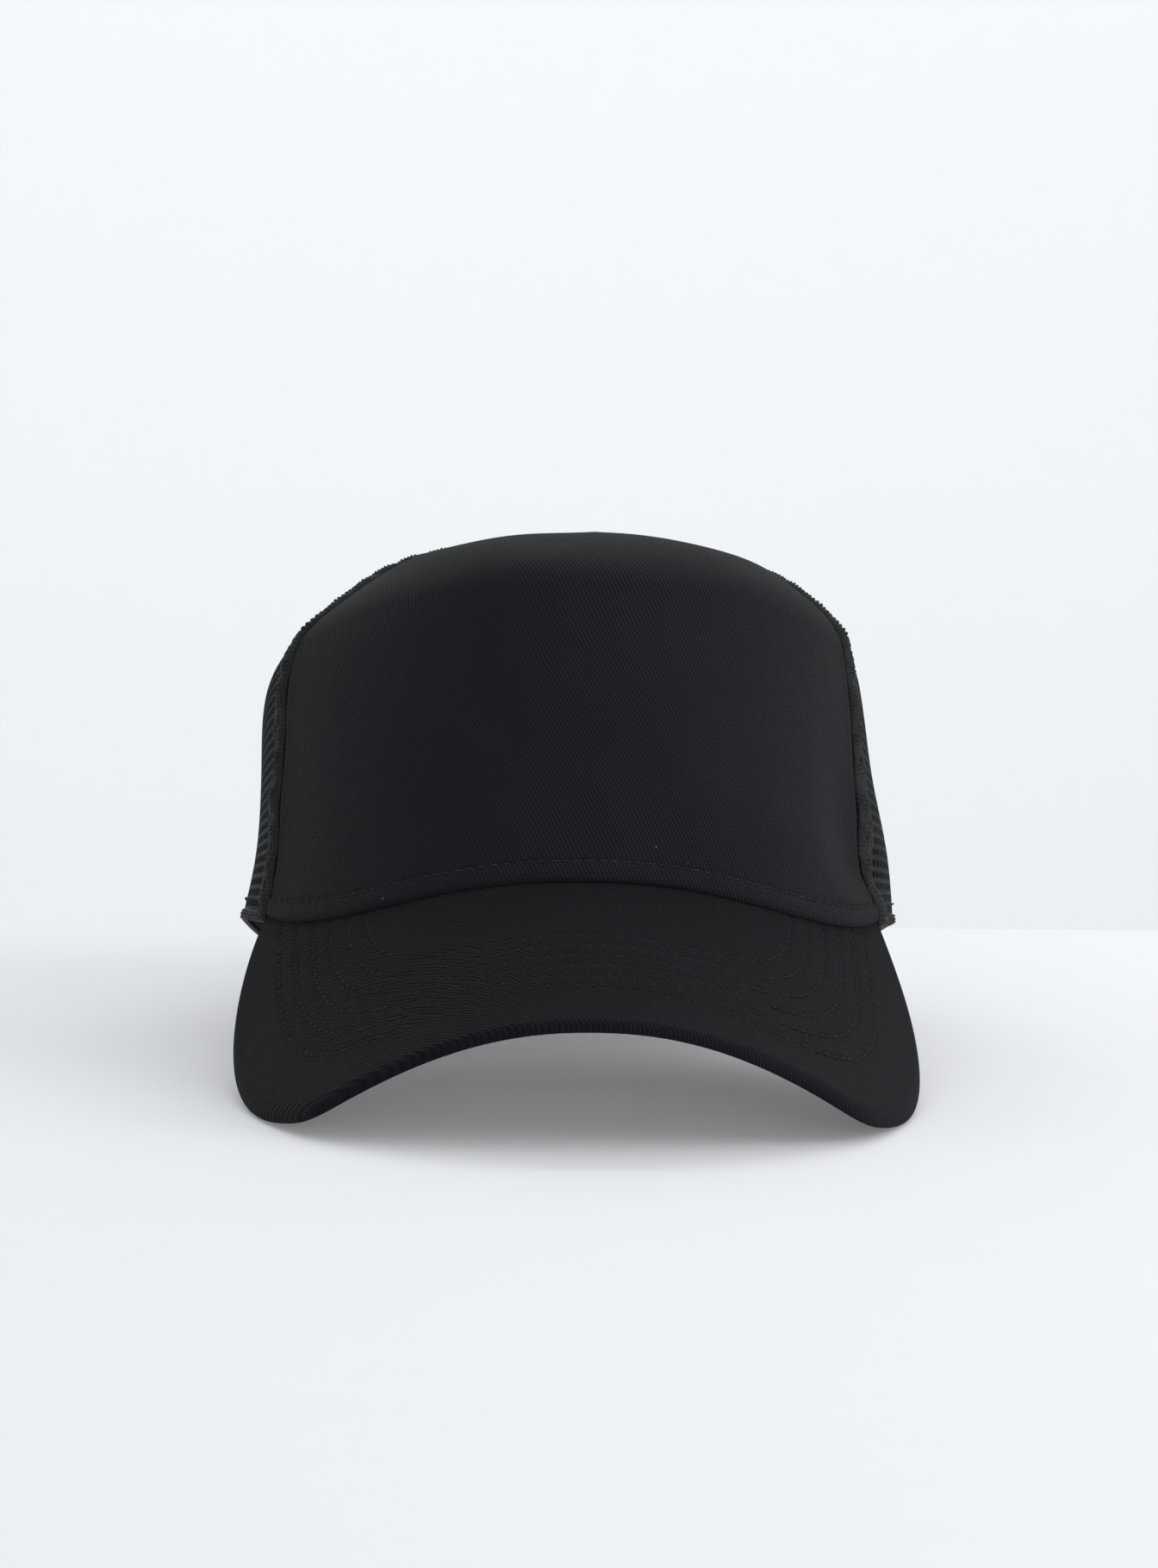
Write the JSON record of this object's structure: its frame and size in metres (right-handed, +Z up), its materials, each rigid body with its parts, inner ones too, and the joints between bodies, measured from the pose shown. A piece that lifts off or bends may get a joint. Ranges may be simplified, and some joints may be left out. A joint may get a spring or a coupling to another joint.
{
  "type": "trucker mesh cap",
  "caption": "Black trucker cap with a one-piece twill front, mesh sides and back, a curved stitched brim and an adjustable snap strap behind.",
  "frame": {"origin": "middle of the cap's bounding box in plan, on the surface that it stands on", "axes": "+Z up as the cap stands on a table, -Y towards the brim, +X towards the wearer's left"},
  "size_m": [0.175, 0.2676, 0.1389],
  "materials": {
    "twill": "black cotton twill",
    "mesh": "black warp-knit polyester mesh",
    "buckram": "stiff black buckram",
    "seam_tape": "black woven tape",
    "sweatband": "black cotton sweatband",
    "padding_foam": "thin foam",
    "brim_board": "moulded polyethylene board",
    "snap_plastic": "satin black plastic",
    "rivet_metal": "black enamelled",
    "label": "blank woven label"
  },
  "bodies": {
    "root": {"front_panel": "twill", "front_panel_backing": "buckram", "side_mesh_left": "mesh", "side_mesh_right": "mesh", "back_mesh_left": "mesh", "back_mesh_right": "mesh", "front_seam_tape_left": "seam_tape", "front_seam_tape_right": "seam_tape", "back_seam_tape_left": "seam_tape", "back_seam_tape_right": "seam_tape", "centre_back_tape": "seam_tape", "rear_opening_binding": "twill", "sweatband": "sweatband", "sweatband_padding": "padding_foam", "size_label": "label", "brim_top_cover": "twill", "brim_board": "brim_board", "brim_under_cover": "twill", "hole_strap_tab": "snap_plastic", "peg_strap_tab": "snap_plastic", "top_button": "twill", "button_rivet": "rivet_metal"},
    "hole_strap": {"hole_strap": "snap_plastic"},
    "peg_strap": {"peg_strap": "snap_plastic"}
  },
  "joints": [
    {"name": "hole_strap_swing", "type": "hinge", "parent": "root", "child": "hole_strap", "pos_m": [0.034, 0.11943, 0.00969], "axis": [0, -0.2773, -0.9608], "range_deg": [0, 60], "stiffness_Nm_per_rad": 0.02},
    {"name": "peg_strap_swing", "type": "hinge", "parent": "root", "child": "peg_strap", "pos_m": [-0.034, 0.11819, 0.01005], "axis": [0, -0.2773, -0.9608], "range_deg": [0, 60], "stiffness_Nm_per_rad": 0.02}
  ]
}
